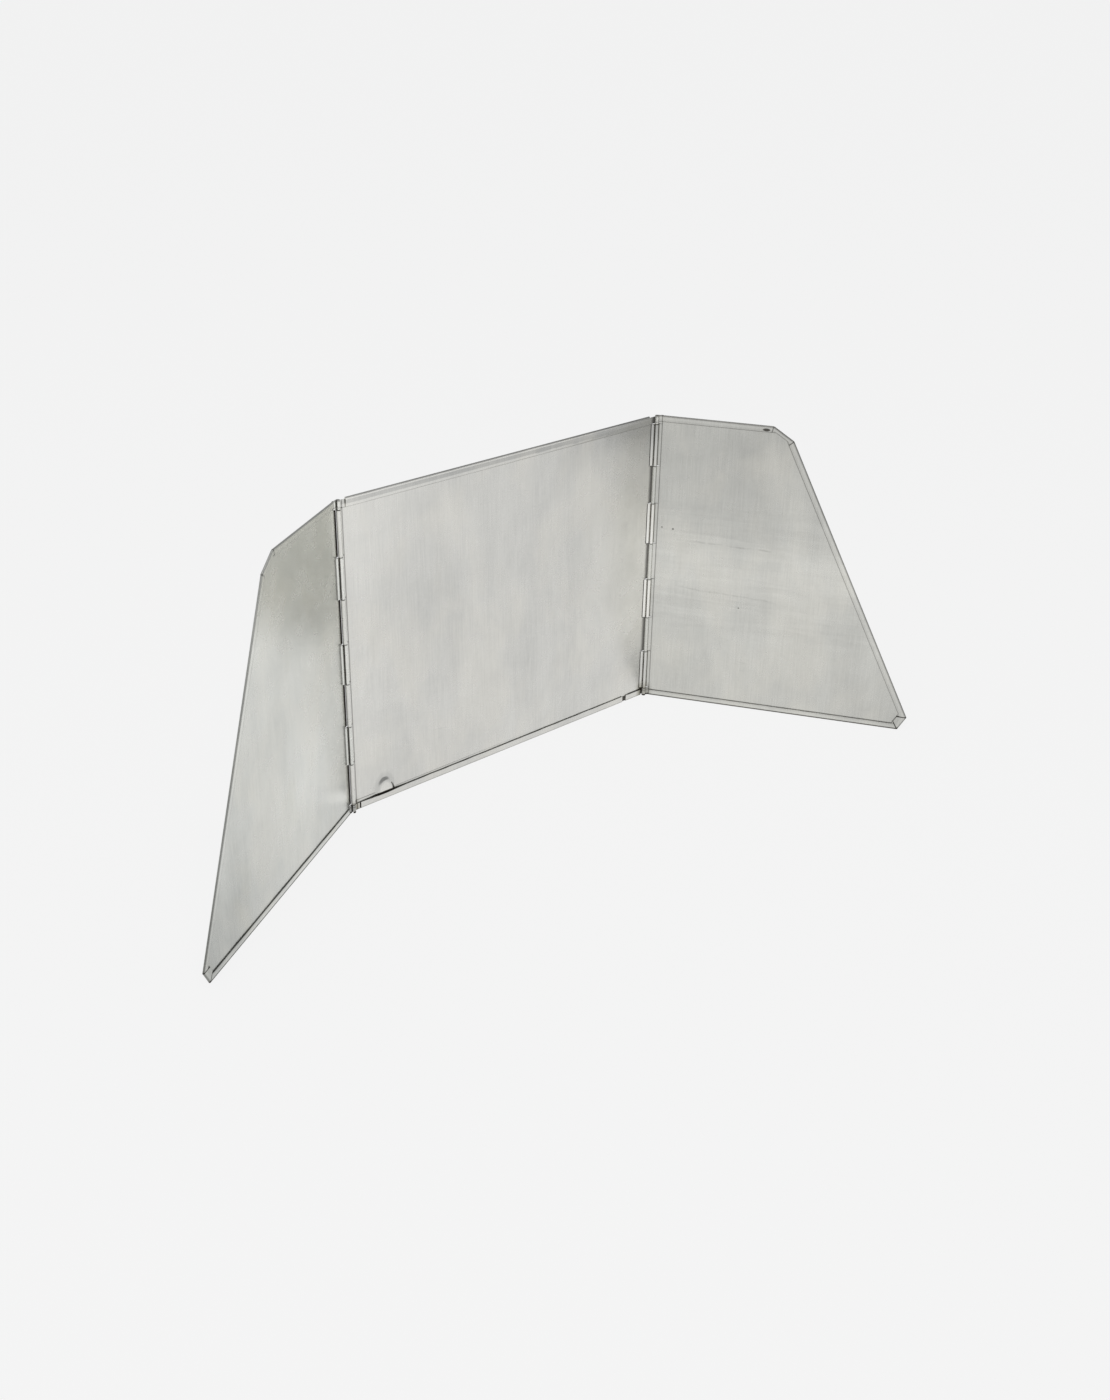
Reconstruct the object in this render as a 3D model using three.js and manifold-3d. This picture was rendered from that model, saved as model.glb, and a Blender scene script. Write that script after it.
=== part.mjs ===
// A folding three-panel shield for a table-top stove, made of bare aluminium sheet.
// A wide centre panel carries a wing at each end on a rolled-knuckle hinge with a wire pin.
// Every free edge is folded over to the inside as a hem. Standing open, the panels rest on their
// bottom hems; folded, the right wing lies on the centre panel and the left wing lies over it.
//
// Frame: millimetres, +Z up, +X from the left wing to the right one, and -Y towards the stove.
// The origin is the middle of the centre panel's bottom edge.

import * as THREE from "three";
import { mergeVertices } from "three/addons/utils/BufferGeometryUtils.js";
import Module from "manifold-3d";

// ---- overall sizes
const HEIGHT = 250; // all three panels
const HINGE_SPACING = 301; // from pin to pin
const WING_REACH = 223; // from the pin to the wing's outermost point
const WING_TOP = 92.7; // length of the wing's top edge, from the pin
const LEFT_OPENING = 148.7; // angle between wing and centre panel as it stands, in degrees
const RIGHT_OPENING = 124.1;

// ---- sheet and hems
const SHEET = 0.6; // thickness
const HEM_GAP = 0.25; // between the sheet and the layer folded over it
const WING_HEM = 5; // width of the folded strip
const CHAMFER_HEM = 3;
const FOOT_HEM = 7.2; // the tab folded in over the cut corner at the foot
const TOP_HEM = 7;
const LIP_HEIGHT = 5.5; // the centre panel's bottom hem
const FOLD_CORNER = 0.45; // outer corner radius of a pressed fold
const FOLD_STEPS = 3; // facets round each such corner
const MITRE_GAP = 0.5; // between the strips that meet at a corner

// ---- wing corners
const CHAMFER_RUN = 16.6;
const CHAMFER_DROP = 10.6;
const FOOT_RUN = 6.4;
const FOOT_RISE = 12;

// ---- hinge
const PIN_DIAMETER = 1.6;
const PIN_CLEARANCE = 0.25; // round the pin, inside a knuckle
const PIN_INSET = 0.4; // from each end of the hinge
const CENTRE_KNUCKLES = 4; // the wing has one more, so a wing knuckle is at each end
const CENTRE_KNUCKLE = 35; // height of each, with its share of the gaps
const WING_KNUCKLE = 32; // the inner ones; the two at the ends take what is left
const KNUCKLE_GAP = 0.4;
const CURL_WRAP = 255; // how far the sheet is rolled round the pin, in degrees
const CURL_STEPS = 17;
const BARREL_CLEARANCE = 0.3; // between a barrel and the other panel's sheet behind it
const JOG_RUN = 2.2; // length of the slope from the sheet's plane forward to the barrel
const FINGER_SHORT = 0.2; // a sheet finger under a barrel stops this short of the pin's line

// ---- centre panel's own features, measured along it from the left pin unless a line says more
const HEM_SETBACK = 7; // of the top hem from each pin
const CORNER_DROP = 1.5; // how far the single sheet beside the top hem is cut down
const CORNER_TAB_START = 2.6;
const CORNER_TAB_END = 6.6;
const LIP_START = 7.2;
const LIP_STOP = 24; // the lip ends this far short of the right pin
const LIP_CLOSED = 15; // length at that end that is pressed shut
const END_TAB_REACH = 20; // how far from the right pin the tab beyond the lip begins
const LIP_OPEN = 0.15; // how far the lip's free edge stands off, beyond the hem gap
const LIP_PRISED = 1.2; // and how much more beside the thumb lug
const LIP_PRISED_SPREAD = 14;
const LUG_AT = 30;
const LUG_BOTTOM = 6.8; // height of its level lower edge, which stands open
const LUG_HALF_WIDTH = 9.3; // at the foot of its slope
const LUG_FACE_HALF = 6.3; // half the width of its flat face
const LUG_STRETCH = 1.45; // how much taller it is than a half-circle
const LUG_RISE = 1.6;
const LUG_SLIT = 0.3; // width of the cut below its lower edge

// ---- derived sizes
const CURL_INNER = PIN_DIAMETER / 2 + PIN_CLEARANCE;
const BARREL = CURL_INNER + SHEET; // radius
// Depths are measured from the pin's line towards the stove, so the sheet's are negative.
const FRONT = -(BARREL + BARREL_CLEARANCE);
const BACK = FRONT - SHEET;
const STRIP_BACK = FRONT + HEM_GAP;
const STRIP_FRONT = STRIP_BACK + SHEET;
const EDGE_MIDDLE = (BACK + STRIP_FRONT) / 2;
const LIP_END = HINGE_SPACING - LIP_STOP;
const JOG_START = BARREL + JOG_RUN; // where the panel's own sheet begins
const HEM_START = JOG_START + KNUCKLE_GAP;
const END_KNUCKLE =
  (HEIGHT - CENTRE_KNUCKLES * CENTRE_KNUCKLE - (CENTRE_KNUCKLES - 1) * WING_KNUCKLE) / 2;

const wasm = await Module();
wasm.setup();

const rad = THREE.MathUtils.degToRad;
const v2 = (x, y) => new THREE.Vector2(x, y);

// A closed three.js geometry, moved by a matrix, as a solid that can be joined and cut.
function solid(geometry, matrix = new THREE.Matrix4()) {
  const bare = geometry.index ? geometry.toNonIndexed() : geometry.clone();
  bare.deleteAttribute("normal");
  bare.deleteAttribute("uv");
  bare.applyMatrix4(matrix);
  const merged = mergeVertices(bare, 1e-4);
  const triVerts = new Uint32Array(merged.index.array);
  if (matrix.determinant() < 0) triVerts.reverse();
  const vertProperties = merged.attributes.position.array;
  return new wasm.Manifold(new wasm.Mesh({ numProp: 3, vertProperties, triVerts }));
}

const join = (solids) => solids.reduce((all, one) => all.add(one));

function meshOf(made, name, material) {
  const { vertProperties, triVerts } = made.getMesh();
  const geometry = new THREE.BufferGeometry();
  geometry.setAttribute("position", new THREE.BufferAttribute(vertProperties, 3));
  geometry.setIndex(new THREE.BufferAttribute(triVerts, 1));
  const mesh = new THREE.Mesh(geometry, material);
  mesh.name = name;
  return mesh;
}

// Panel axes: u runs along the panel away from its pin, w is depth towards the stove, z is up.
// An outline in u and z, made a plate between two depths.
function plate(outline, from, to) {
  const geometry = new THREE.ExtrudeGeometry(new THREE.Shape(outline), {
    depth: to - from,
    bevelEnabled: false,
  });
  const basis = new THREE.Matrix4().makeBasis(
    new THREE.Vector3(1, 0, 0),
    new THREE.Vector3(0, 0, 1),
    new THREE.Vector3(0, 1, 0),
  );
  return solid(geometry, basis.setPosition(0, from, 0));
}

const block = (u0, u1, z0, z1, from, to) =>
  plate([v2(u0, z0), v2(u1, z0), v2(u1, z1), v2(u0, z1)], from, to);

// An outline in u and w, made a column between two heights.
function column(outline, bottom, top) {
  const geometry = new THREE.ExtrudeGeometry(new THREE.Shape(outline), {
    depth: top - bottom,
    bevelEnabled: false,
  });
  return solid(geometry, new THREE.Matrix4().makeTranslation(0, 0, bottom));
}

// Points of a circular arc from one angle to another, in degrees.
function arc(x, y, radius, from, to, steps) {
  return Array.from({ length: steps + 1 }, (_, i) => {
    const a = rad(from + ((to - from) * i) / steps);
    return v2(x + radius * Math.cos(a), y + radius * Math.sin(a));
  });
}

// A hem's section: x is the distance in from the folded edge and y is depth. The sheet comes out
// along its back, turns round a pressed fold and lies back over itself.
function hemSection(width) {
  const r = FOLD_CORNER;
  return [
    v2(width, BACK),
    ...arc(r, BACK + r, r, 270, 180, FOLD_STEPS),
    ...arc(r, STRIP_FRONT - r, r, 180, 90, FOLD_STEPS),
    v2(width, STRIP_FRONT),
    v2(width, STRIP_BACK),
    v2(SHEET, STRIP_BACK),
    v2(SHEET, FRONT),
    v2(width, FRONT),
  ];
}

// A hem along the edge from p to q, with the panel on the left of that direction. Each end is
// cut along a line that moves by its lean along the edge for each millimetre inwards. The strip
// may stand open: open(s) is how far its free edge stands off at the distance s along the edge.
function hem(p, q, width, leanP = 0, leanQ = 0, open = null) {
  const along = q.clone().sub(p);
  const length = along.length();
  along.normalize();
  const geometry = new THREE.ExtrudeGeometry(new THREE.Shape(hemSection(width)), {
    depth: length,
    steps: open ? 36 : 1,
    bevelEnabled: false,
  });
  if (open) {
    const at = geometry.attributes.position;
    for (let i = 0; i < at.count; i++) {
      const share = Math.max(0, at.getX(i) - SHEET) / (width - SHEET);
      const onStrip = at.getY(i) > (FRONT + STRIP_BACK) / 2;
      if (onStrip) at.setY(i, at.getY(i) + share * open(at.getZ(i)));
    }
  }
  const basis = new THREE.Matrix4().makeBasis(
    new THREE.Vector3(-along.y, 0, along.x),
    new THREE.Vector3(0, 1, 0),
    new THREE.Vector3(along.x, 0, along.y),
  );
  const made = solid(geometry, basis.setPosition(p.x, 0, p.y));
  if (!leanP && !leanQ) return made;
  const gap = MITRE_GAP / 2;
  const reach = width + 1;
  const corner = (start, s, depth, lean) =>
    v2(
      start.x + along.x * (s + lean * depth) - along.y * depth,
      start.y + along.y * (s + lean * depth) + along.x * depth,
    );
  return made.intersect(
    plate(
      [
        corner(p, leanP ? gap : 0, -1, leanP),
        corner(q, leanQ ? -gap : 0, -1, leanQ),
        corner(q, leanQ ? -gap : 0, reach, leanQ),
        corner(p, leanP ? gap : 0, reach, leanP),
      ],
      BACK - 1,
      STRIP_FRONT + 1,
    ),
  );
}

// How far a mitre line moves along an edge for each millimetre inwards, at the corner b.
function mitre(a, b, c) {
  const angle = Math.PI - (c.clone().sub(b).angle() - b.clone().sub(a).angle());
  return 1 / Math.tan(angle / 2);
}

// The outline moved in by a distance along each edge that is folded.
function inset(points, folded, distance) {
  const lines = points.map((p, i) => {
    const along = points[(i + 1) % points.length].clone().sub(p).normalize();
    const by = folded[i] ? distance : 0;
    return { at: v2(p.x - along.y * by, p.y + along.x * by), along };
  });
  return lines.map((line, i) => {
    const before = lines[(i + lines.length - 1) % lines.length];
    const apart = line.at.clone().sub(before.at);
    const s = apart.cross(line.along) / before.along.cross(line.along);
    return before.at.clone().addScaledVector(before.along, s);
  });
}

// Heights of the joints between knuckles, from the bottom up.
function knuckleHeights() {
  const heights = [0, END_KNUCKLE];
  for (let i = 0; i < 2 * CENTRE_KNUCKLES - 1; i++)
    heights.push(heights.at(-1) + (i % 2 ? WING_KNUCKLE : CENTRE_KNUCKLE));
  return [...heights, HEIGHT];
}

// The knuckles and fingers along one hinge, in that panel's axes. Even knuckles are the wing's.
// An own knuckle steps forward out of the sheet, passes behind the pin and is rolled round it.
// Where the other panel's knuckle sits, a flat finger of the sheet runs in behind the barrel.
function hingeEdge(isWing, cornerDrop) {
  const heights = knuckleHeights();
  const slope = SHEET * Math.tan(Math.atan2(-BARREL - BACK, JOG_RUN) / 2);
  const knuckle = [
    v2(JOG_START + 1, BACK),
    v2(JOG_START, BACK),
    v2(BARREL, -BARREL),
    ...arc(0, 0, BARREL, 270, 270 - CURL_WRAP, CURL_STEPS),
    ...arc(0, 0, CURL_INNER, 270 - CURL_WRAP, 270, CURL_STEPS),
    v2(BARREL - slope, -CURL_INNER),
    v2(JOG_START - slope, FRONT),
    v2(JOG_START + 1, FRONT),
  ];
  return heights.slice(1).map((top, i) => {
    const bottom = heights[i];
    const low = bottom + (i ? KNUCKLE_GAP / 2 : 0);
    const high = top - (i < 2 * CENTRE_KNUCKLES ? KNUCKLE_GAP / 2 : 0);
    if (isWing === (i % 2 === 0)) return column(knuckle, low, high);
    const lift = i ? 0 : FOLD_CORNER;
    const drop = i < 2 * CENTRE_KNUCKLES ? 0 : cornerDrop;
    return block(FINGER_SHORT, JOG_START + 1, low + lift, high - drop, BACK, FRONT);
  });
}

// A wing in its own axes: bottom edge, folded foot corner, sloping outer edge, chamfer and top.
function wing() {
  const outline = [
    v2(HEM_START, 0),
    v2(WING_REACH - FOOT_RUN, 0),
    v2(WING_REACH, FOOT_RISE),
    v2(WING_TOP + CHAMFER_RUN, HEIGHT - CHAMFER_DROP),
    v2(WING_TOP, HEIGHT),
    v2(HEM_START, HEIGHT),
  ];
  const widths = [WING_HEM, FOOT_HEM, WING_HEM, CHAMFER_HEM, WING_HEM];
  const sheet = inset(outline, [...widths.map(() => true), false], FOLD_CORNER);
  sheet[0].x = sheet[5].x = JOG_START;
  const leans = outline.map((b, i) =>
    i === 0 || i === 5 ? 0 : mitre(outline[i - 1], b, outline[(i + 1) % 6]),
  );
  const hems = widths.map((width, i) =>
    hem(outline[i], outline[i + 1], width, leans[i], -leans[i + 1]),
  );
  return join([plate(sheet, BACK, FRONT), ...hems, ...hingeEdge(true, 0)]);
}

// How far the centre panel's lip stands off at a distance s along it.
function lipOpening(s) {
  const at = LIP_START + s;
  const shut = THREE.MathUtils.smoothstep(at, LIP_END - LIP_CLOSED - 12, LIP_END - LIP_CLOSED);
  const prised = LIP_PRISED * Math.exp(-(((at - LUG_AT) / LIP_PRISED_SPREAD) ** 2));
  return (LIP_OPEN + prised) * (1 - shut);
}

// The upper half of a low round boss, stretched upwards, from one depth forward to another.
function boss(halfWidth, faceHalf, foot, face, bottom) {
  const profile = [v2(0, foot), v2(halfWidth, foot), v2(faceHalf, face), v2(0, face)];
  const place = new THREE.Matrix4().makeScale(1, 1, LUG_STRETCH);
  const whole = solid(
    new THREE.LatheGeometry(profile, 40),
    place.setPosition(LUG_AT, 0, LUG_BOTTOM),
  );
  const reach = 2 * halfWidth;
  return whole.intersect(
    block(LUG_AT - reach, LUG_AT + reach, bottom, bottom + reach, foot - 1, face + 1),
  );
}

// The centre panel, in the axes of its left hinge, so u runs from the left pin to the right one.
function centrePanel() {
  const far = HINGE_SPACING;
  const sheet = block(
    JOG_START,
    far - JOG_START,
    FOLD_CORNER,
    HEIGHT - CORNER_DROP,
    BACK,
    FRONT,
  );
  const bottomHem = (from, to, open) =>
    hem(v2(from, 0), v2(to, 0), LIP_HEIGHT, 0, 0, open);
  const topHem = hem(v2(far - HEM_SETBACK, HEIGHT), v2(HEM_SETBACK, HEIGHT), TOP_HEM);
  const turned = new THREE.Matrix4().makeScale(-1, 1, 1).setPosition(far, 0, 0);
  const mirrored = (made) => made.transform(turned.elements);
  const edge = hingeEdge(false, CORNER_DROP);
  return join([
    sheet,
    topHem,
    bottomHem(CORNER_TAB_START, CORNER_TAB_END),
    bottomHem(LIP_START, LIP_END, lipOpening),
    bottomHem(far - END_TAB_REACH, far - CORNER_TAB_START),
    ...edge,
    ...edge.map(mirrored),
    boss(LUG_HALF_WIDTH, LUG_FACE_HALF, FRONT, FRONT + LUG_RISE, LUG_BOTTOM),
  ]).subtract(
    boss(
      LUG_HALF_WIDTH - SHEET / 2,
      LUG_FACE_HALF - SHEET / 2,
      BACK,
      BACK + LUG_RISE,
      LUG_BOTTOM - LUG_SLIT,
    ),
  );
}

function hingePin() {
  const length = HEIGHT - 2 * PIN_INSET;
  const wire = new THREE.CylinderGeometry(PIN_DIAMETER / 2, PIN_DIAMETER / 2, length, 20);
  return wire.rotateX(Math.PI / 2).translate(0, 0, HEIGHT / 2);
}

// ---- assembly
const aluminium = (colour, roughness) =>
  new THREE.MeshStandardMaterial({ color: colour, roughness, metalness: 1 });

const pinLine = (side) => new THREE.Vector3((side * HINGE_SPACING) / 2, EDGE_MIDDLE, 0);
const mirror = new THREE.Matrix4().makeScale(1, -1, 1).elements;

// The centre panel's depth axis points to -Y, which mirrors it.
const centre = meshOf(
  centrePanel().transform(mirror),
  "centre_panel",
  aluminium(0xc8c8c4, 0.42),
);
centre.position.copy(pinLine(-1));

const leftWing = meshOf(wing(), "left_wing", aluminium(0xaaada5, 0.4));
leftWing.position.copy(pinLine(-1));
leftWing.rotation.z = -rad(LEFT_OPENING);

const rightWing = meshOf(
  wing().transform(mirror),
  "right_wing",
  aluminium(0xb6b8b2, 0.4),
);
rightWing.position.copy(pinLine(1));
rightWing.rotation.z = rad(180 + RIGHT_OPENING);

const steel = new THREE.MeshStandardMaterial({ color: 0x9a9a98, roughness: 0.35, metalness: 1 });
const pins = ["left", "right"].map((side, i) => {
  const pin = new THREE.Mesh(hingePin(), steel.clone());
  pin.name = side + "_hinge_pin";
  pin.position.copy(pinLine(2 * i - 1));
  return pin;
});

const shield = new THREE.Group();
shield.add(centre, leftWing, rightWing, ...pins);

export default shield;
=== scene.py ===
import math

import bpy
import numpy as np
from mathutils import Matrix, Vector


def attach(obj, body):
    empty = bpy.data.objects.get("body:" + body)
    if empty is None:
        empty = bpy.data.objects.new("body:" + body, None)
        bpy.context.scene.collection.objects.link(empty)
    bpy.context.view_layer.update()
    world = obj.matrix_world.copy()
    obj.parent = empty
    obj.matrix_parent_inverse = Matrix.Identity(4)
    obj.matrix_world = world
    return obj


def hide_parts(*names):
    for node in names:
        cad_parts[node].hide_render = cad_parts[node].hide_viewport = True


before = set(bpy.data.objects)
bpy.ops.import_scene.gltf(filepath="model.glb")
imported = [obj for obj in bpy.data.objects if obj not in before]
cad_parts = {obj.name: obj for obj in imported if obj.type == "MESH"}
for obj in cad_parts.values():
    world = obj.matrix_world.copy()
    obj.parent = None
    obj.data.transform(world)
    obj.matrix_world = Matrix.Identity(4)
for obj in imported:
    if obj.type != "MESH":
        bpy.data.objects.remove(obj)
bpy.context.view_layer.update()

# ---- The centre panel
# One piece of half-hard aluminium sheet. Its top edge is folded into a flat hem and its bottom one
# into a lip, a half-round thumb lug is lanced and pressed forward near its lower left corner, and
# tongues along both ends are rolled into hinge knuckles. It has gone dull and sooty with use.
MM = 0.001
SHEET = 0.6
PIN_RADIUS = 0.8
CURL_INNER = PIN_RADIUS + 0.25  # a rolled knuckle's hollow, with running clearance
BARREL = CURL_INNER + SHEET
FRONT = -(BARREL + 0.3)  # depth of a sheet's inner face behind its pin's axis
BACK = FRONT - SHEET
STRIP_BACK = FRONT + 0.25  # a folded strip lies this far off the sheet
STRIP_FRONT = STRIP_BACK + SHEET
HEIGHT = 250.0
SPACING = 301.0  # from the left pin to the right one
JOG_RUN = 2.2  # length of the slope from the flat sheet out to a knuckle
JOG_START = BARREL + JOG_RUN
PIN_Y = (BACK + STRIP_FRONT) / 2
CORNER_DROP = 1.5  # the end fingers stop this far below the top
FOLD_IN = 0.45  # the flat sheet stops this far inside the outside of a fold
TUCK = 0.03  # a strip's root lies this deep in the sheet's thickness


class Panel:
    """A panel's own axes: u runs along it from its pin, w is depth towards the inside, z is up."""

    def __init__(self, pin_x, angle, turn):
        a = math.radians(angle)
        self.pin = np.array([pin_x, PIN_Y, 0.0])
        self.along = np.array([math.cos(a), math.sin(a), 0.0])
        self.front = turn * np.array([-math.sin(a), math.cos(a), 0.0])

    def place(self, u, w, z):
        """Points in metres: the pin's foot plus u along, w to the front and z up."""
        u, w, z = np.broadcast_arrays(u, w, z)
        up = np.array([0.0, 0.0, 1.0])
        at = self.pin + u[..., None] * self.along + w[..., None] * self.front
        return (at + z[..., None] * up) * MM


CENTRE = Panel(-SPACING / 2, 0, -1)
CENTRE_FAR = Panel(SPACING / 2, 180, 1)


SHARP_EDGE = math.radians(35)


def loft(name, loops):
    """A closed solid skinned over a stack of closed loops, an array of rows by points by xyz."""
    rows, points = loops.shape[:2]
    a = np.arange(rows - 1)[:, None] * points + np.arange(points)
    b = np.arange(rows - 1)[:, None] * points + np.roll(np.arange(points), -1)
    walls = np.stack([a, b, b + points, a + points], -1).reshape(-1, 4).tolist()
    first = list(range(points))[::-1]
    last = list(range((rows - 1) * points, rows * points))
    mesh = bpy.data.meshes.new(name)
    mesh.from_pydata(loops.reshape(-1, 3).tolist(), [], [*walls, first, last])
    if signed_volume(mesh) < 0:
        mesh.flip_normals()
    mesh.shade_smooth()
    mesh.set_sharp_from_angle(angle=SHARP_EDGE)
    piece = bpy.data.objects.new(name, mesh)
    bpy.context.scene.collection.objects.link(piece)
    return piece


def signed_volume(mesh):
    """The sum over all triangles of a sixth of the triple product of their corners."""
    mesh.calc_loop_triangles()
    co = np.empty(len(mesh.vertices) * 3)
    mesh.vertices.foreach_get("co", co)
    tri = np.empty(len(mesh.loop_triangles) * 3, np.int32)
    mesh.loop_triangles.foreach_get("vertices", tri)
    p = co.reshape(-1, 3)[tri.reshape(-1, 3)]
    return np.einsum("ij,ij->i", p[:, 0], np.cross(p[:, 1], p[:, 2])).sum() / 6


def joined(name, pieces, body, *nodes):
    """Several solids of one sheet as one object, which rides on a body and stands for nodes."""
    with bpy.context.temp_override(active_object=pieces[0], selected_editable_objects=pieces):
        bpy.ops.object.join()
    piece = pieces[0]
    piece.name = name
    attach(piece, body)
    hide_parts(*nodes)
    return piece


def smooth(x, low, high):
    """0 below low, 1 above high, and an S-shaped cubic between."""
    t = np.clip((x - low) / (high - low), 0, 1)
    return t * t * (3 - 2 * t)


BULGE, WAVE, RIM = 0.22, 0.045, 45.0


def ripple(u, z, width, seed):
    """How far a rolled sheet bulges forward: a fixed amount and five slow sines of u and z,
    fading to 0 over a rim along its edges."""
    rng = np.random.default_rng(seed)
    rim = smooth(np.minimum(u - JOG_START, width - u), 0, RIM)
    rim = rim * smooth(np.minimum(z, HEIGHT - z), 0, RIM)
    out = BULGE
    for _ in range(5):
        fu, fz, shift = rng.uniform(0.006, 0.03), rng.uniform(0.004, 0.022), rng.uniform(0, 6.28)
        out = out + WAVE * np.sin(fu * u * 2 + fz * z * 2 + shift)
    return out * rim


def sheet(name, panel, us, zs, depth):
    """A sheet's loops: along its front at each height, then back along its rear. us gives the
    stations at each height as rows, zs the heights and depth how far both faces are moved."""
    z = np.broadcast_to(zs[:, None], us.shape)
    moved = depth(us, z)
    front = panel.place(us, FRONT + moved, z)
    rear = panel.place(us, BACK + moved, z)
    return loft(name, np.concatenate([front, rear[:, ::-1]], 1))


LUG_AT, LUG_BOTTOM, LUG_RISE = 30.0, 6.8, 1.6
LUG_HALF_WIDTH, LUG_FACE_HALF, LUG_STRETCH = 9.3, 6.3, 1.45
LUG_ROUND, LUG_CUT = 0.6, 0.25


def lug(u, z):
    """The thumb lug: a flat half-round face, a soft ramp down to the sheet and a cut below."""
    r = np.hypot(u - LUG_AT, (z - LUG_BOTTOM) / LUG_STRETCH)
    ramp = 1 - smooth(r, LUG_FACE_HALF - LUG_ROUND, LUG_HALF_WIDTH)
    return LUG_RISE * ramp * smooth(z, LUG_BOTTOM - LUG_CUT, LUG_BOTTOM)


def centre_depth(u, z):
    """The centre panel's faces are moved by the sum of the sheet's bulge and the lug."""
    return ripple(u, z, SPACING - JOG_START, seed=4) + lug(u, z)


centre_us = np.unique(np.concatenate([
    np.linspace(JOG_START, SPACING - JOG_START, 60), np.linspace(LUG_AT - 11, LUG_AT + 11, 72)]))
centre_zs = np.unique(np.concatenate([
    np.linspace(FOLD_IN, HEIGHT - CORNER_DROP, 50), [LUG_BOTTOM - LUG_CUT, LUG_BOTTOM],
    np.linspace(LUG_BOTTOM, 21, 48)]))
centre_parts = [sheet("centre_sheet", CENTRE, np.tile(centre_us, (len(centre_zs), 1)),
                      centre_zs, centre_depth)]

# The top hem is wide and flat. The lip was never pressed quite shut: it ends in a snipped gap near
# the right hinge, and has a short tab at each corner.
TOP_HEM, LIP_HEIGHT = 7.0, 5.5
TOP_HEM_INSET, TAB_START, TAB_STOP = 7.0, 2.6, 6.6
LIP_START, LIP_END, LIP_CLOSED, END_TAB = 7.2, SPACING - 24, 15.0, 20.0
LIP_OPEN, LIP_PRISED, LIP_SPREAD = 0.15, 1.2, 14.0
ROOT, RAW_ROUND, INNER_FOLD = 1.6, 0.22, 0.12
FOLD_ROLL, MITRE_GAP = 0.62, 0.25
DEPTH_WAVE, EDGE_WAVE = 0.12, 0.16  # how far a strip's raw edge wanders, outwards and inwards


def hem_section(width):
    """A folded strip's section: x in from the edge and w depth. It starts inside the sheet, goes
    round the outside of the fold, along the strip to its rounded raw edge and back inside."""
    mid, half = (BACK + STRIP_FRONT) / 2, (STRIP_FRONT - BACK) / 2
    turn = np.radians(np.linspace(270, 90, 15))
    outer = np.stack([FOLD_ROLL + FOLD_ROLL * np.cos(turn), mid + half * np.sin(turn)], 1)
    bend = (STRIP_BACK - FRONT) / 2
    inner = np.stack([SHEET + INNER_FOLD + INNER_FOLD * np.cos(turn[::-2]),
                      mid + bend * np.sin(turn[::-2])], 1)
    edge = np.radians(np.linspace(90, -90, 7))
    raw = np.stack([width - RAW_ROUND + RAW_ROUND * np.cos(edge),
                    (STRIP_FRONT + STRIP_BACK) / 2 + SHEET / 2 * np.sin(edge)], 1)
    run = np.linspace(FOLD_ROLL, width - RAW_ROUND, 8)[1:-1]
    over = np.stack([run, np.full_like(run, STRIP_FRONT)], 1)
    under = np.stack([run[::-1], np.full_like(run, STRIP_BACK)], 1)
    start = np.array([[ROOT, BACK + TUCK]])
    end = np.array([[ROOT, FRONT - TUCK]])
    return np.concatenate([start, outer, over, raw, under, inner, end])


def hem(name, panel, p, q, width, lean_p=0, lean_q=0, lift=None, belly=0.0, seed=1):
    """A hem along the edge from p to q in u and z, its section carried along the edge. Each end
    is cut on its mitre line. lift says how far the raw edge stands off at a distance s, and belly
    how far the strip swells out, as a squared sine of the way in, where the fold stayed round."""
    p, q = np.array(p, float), np.array(q, float)
    length = np.hypot(*(q - p))
    along = (q - p) / length
    section = hem_section(width)
    x, w = section[:, 0], section[:, 1]
    on_strip = w > (FRONT + STRIP_BACK) / 2
    share = np.clip((x - 0.4) / (width - 0.4), 0, 1) * on_strip
    t = np.linspace(0, 1, max(6, int(length / 3)))[:, None]
    s_low = (MITRE_GAP if lean_p else 0) + lean_p * x
    s_high = length - (MITRE_GAP if lean_q else 0) + lean_q * x
    s = s_low + (s_high - s_low) * t
    rng = np.random.default_rng(seed)
    waves = [(rng.uniform(0.05, 0.4), rng.uniform(0, 6.28)) for _ in range(4)]
    wander = sum(np.sin(f * s + shift) for f, shift in waves) / 4
    swell = belly * np.sin(np.pi * np.clip(x / width, 0, 1) ** 0.75) ** 2 * on_strip
    depth = w + share * (DEPTH_WAVE * wander + (lift(s) if lift else 0)) + swell
    inward = x + share * EDGE_WAVE * np.roll(wander, 3, 0)
    u = p[0] + along[0] * s - along[1] * inward
    z = p[1] + along[1] * s + along[0] * inward
    return loft(name, panel.place(u, depth, z))


def lip_lift(s):
    """How far the lip's raw edge stands off at a distance s along it: a little everywhere and a
    bell curve more beside the lug, fading to 0 where the lip is pressed shut."""
    at = LIP_START + s
    shut = smooth(at, LIP_END - LIP_CLOSED - 12, LIP_END - LIP_CLOSED)
    prised = LIP_PRISED * np.exp(-(((at - LUG_AT) / LIP_SPREAD) ** 2))
    return (LIP_OPEN + prised) * (1 - shut)


centre_parts += [
    hem("top_hem", CENTRE, (SPACING - TOP_HEM_INSET, HEIGHT), (TOP_HEM_INSET, HEIGHT), TOP_HEM,
        belly=0.35, seed=5),
    hem("left_tab", CENTRE, (TAB_START, 0), (TAB_STOP, 0), LIP_HEIGHT, seed=6),
    hem("lip", CENTRE, (LIP_START, 0), (LIP_END, 0), LIP_HEIGHT, lift=lip_lift, seed=7),
    hem("end_tab", CENTRE, (SPACING - END_TAB, 0), (SPACING - TAB_START, 0), LIP_HEIGHT, seed=8),
]

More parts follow.
